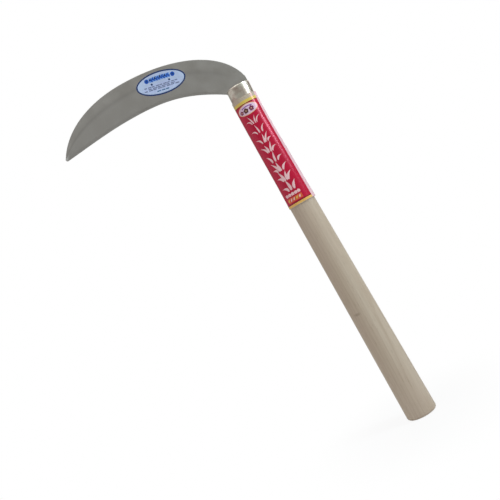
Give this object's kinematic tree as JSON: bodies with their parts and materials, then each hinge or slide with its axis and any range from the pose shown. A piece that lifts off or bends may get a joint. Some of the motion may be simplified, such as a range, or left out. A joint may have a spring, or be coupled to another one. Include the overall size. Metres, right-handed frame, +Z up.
{
  "type": "hand sickle",
  "caption": "One-hand grass sickle: a thin crescent stainless blade set across a straight oval wooden handle, with a metal ferrule and a printed label sleeve.",
  "frame": {"origin": "centre of the handle's flat butt face", "axes": "+Z up the handle to the head; the blade reaches towards -X; its ground front face looks along -Y"},
  "size_m": [0.2073, 0.0258, 0.4506],
  "materials": {
    "pale_wood": "plain sanded pale wood, unvarnished",
    "plated_steel": "bright, slightly uneven plating",
    "stainless": "satin stainless, ground along its length",
    "pin_steel": "plain cut steel",
    "sticker_film": "printed oval sticker, pale blue with a navy border",
    "label_film": "glossy printed film, red with gold end bands"
  },
  "bodies": {
    "root": {"handle": "pale_wood", "ferrule": "plated_steel", "blade": "stainless", "ferrule_pin": "pin_steel", "tang_pin": "pin_steel", "blade_sticker": "sticker_film", "handle_label": "label_film"}
  },
  "joints": []
}
